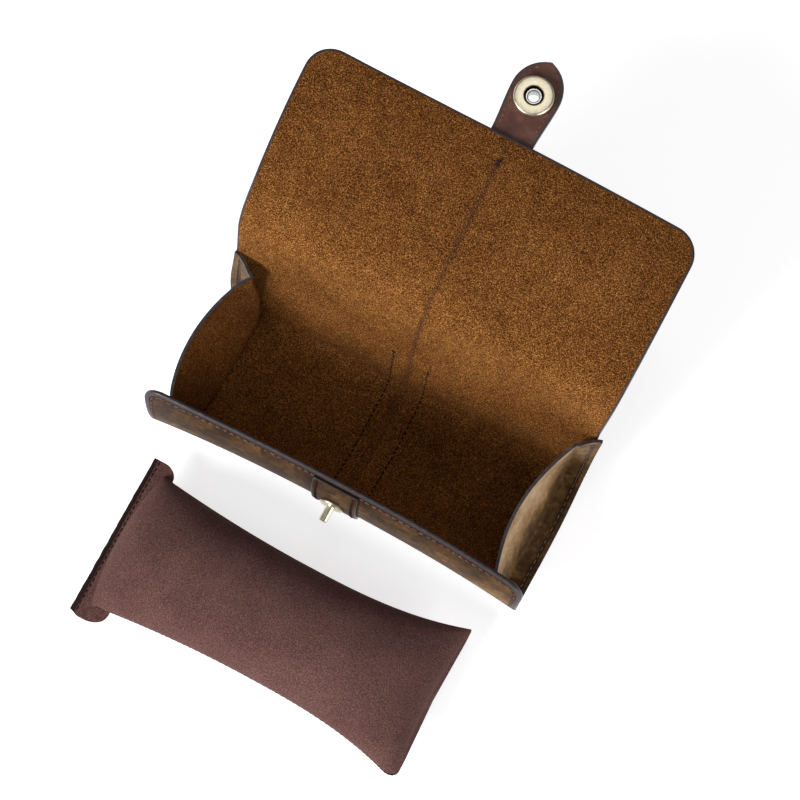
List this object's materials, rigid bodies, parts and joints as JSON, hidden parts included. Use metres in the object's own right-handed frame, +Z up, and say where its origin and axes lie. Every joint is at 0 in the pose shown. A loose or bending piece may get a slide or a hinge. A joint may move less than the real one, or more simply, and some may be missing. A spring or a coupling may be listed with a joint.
{
  "type": "watch roll",
  "caption": "Open leather watch roll with end gussets, a fold-over flap that closes with a magnetic snap tab, and a loose stuffed watch pillow lying in front of it.",
  "frame": {"origin": "on the underside of the base band, under the middle of the roll, where it stands", "axes": "+X along the roll to its right end, +Y from the front wall to the back wall and the open flap, +Z up"},
  "size_m": [0.201, 0.3161, 0.1258],
  "materials": {
    "wrap_leather": "oiled pull-up grain outside, rough suede inside, dark painted edges",
    "gusset_leather": "rough suede inside, oiled grain outside, dark painted edges",
    "band_leather": "oiled pull-up grain, dark painted edges",
    "lining_leather": "smooth satin dark chocolate",
    "thread": "waxed polyester thread",
    "brass": "pale antique brass plating",
    "steel": "nickel plated",
    "magnet": "nickel plated ring magnet",
    "pillow_suede": "short-pile microfibre suede",
    "pillow_filling": "polyester fibre filling",
    "pillow_thread": "matt polyester thread"
  },
  "bodies": {
    "case": {"wrap_left": "wrap_leather", "wrap_right": "wrap_leather", "gusset_left": "gusset_leather", "gusset_right": "gusset_leather", "base_band": "band_leather", "stud_disc": "brass", "stud_washer": "steel", "stud_post": "brass", "wrap_middle_stitches": "thread", "gusset_left_stitches": "thread", "gusset_right_stitches": "thread", "band_stitches": "thread", "front_edge_stitches": "thread"},
    "flap_root": {"flap_root_left": "wrap_leather", "flap_root_right": "wrap_leather", "flap_root_stitches": "thread"},
    "flap_middle": {"flap_middle_left": "wrap_leather", "flap_middle_right": "wrap_leather", "flap_middle_stitches": "thread"},
    "flap_front": {"flap_front_left": "wrap_leather", "flap_front_right": "wrap_leather", "flap_front_stitches": "thread", "tab_root": "band_leather"},
    "tab": {"tab_lining": "lining_leather", "tab_outer": "band_leather", "tab_stitches": "thread", "snap_cup": "brass", "snap_magnet": "magnet", "snap_washer": "steel", "snap_rivet": "steel"},
    "pillow": {"pillow_cover": "pillow_suede", "pillow_filling": "pillow_filling", "pillow_hem": "pillow_suede", "pillow_hem_stitches": "pillow_thread"}
  },
  "joints": [
    {"name": "flap_bend_root", "type": "hinge", "parent": "case", "child": "flap_root", "pos_m": [0, 0.04182, 0.0632], "axis": [1, 0, 0], "range_deg": [-6, 46]},
    {"name": "flap_bend_middle", "type": "hinge", "parent": "flap_root", "child": "flap_middle", "pos_m": [0, 0.04967, 0.08761], "axis": [1, 0, 0], "range_deg": [-12.91, 98.94]},
    {"name": "flap_bend_front", "type": "hinge", "parent": "flap_middle", "child": "flap_front", "pos_m": [0, 0.08582, 0.11003], "axis": [1, 0, 0], "range_deg": [-8.36, 64.02]},
    {"name": "tab_fold", "type": "hinge", "parent": "flap_front", "child": "tab", "pos_m": [0, 0.13082, 0.11918], "axis": [1, 0, 0], "range_deg": [-15, 49.86]},
    {"name": "pillow_lift", "type": "slide", "parent": "case", "child": "pillow", "axis": [0, 0, 1], "range_m": [0, 0.12]}
  ],
  "couplings": [
    {"joint": "flap_bend_middle", "follows": "flap_bend_root", "ratio": 2.1507},
    {"joint": "flap_bend_front", "follows": "flap_bend_root", "ratio": 1.3915}
  ]
}
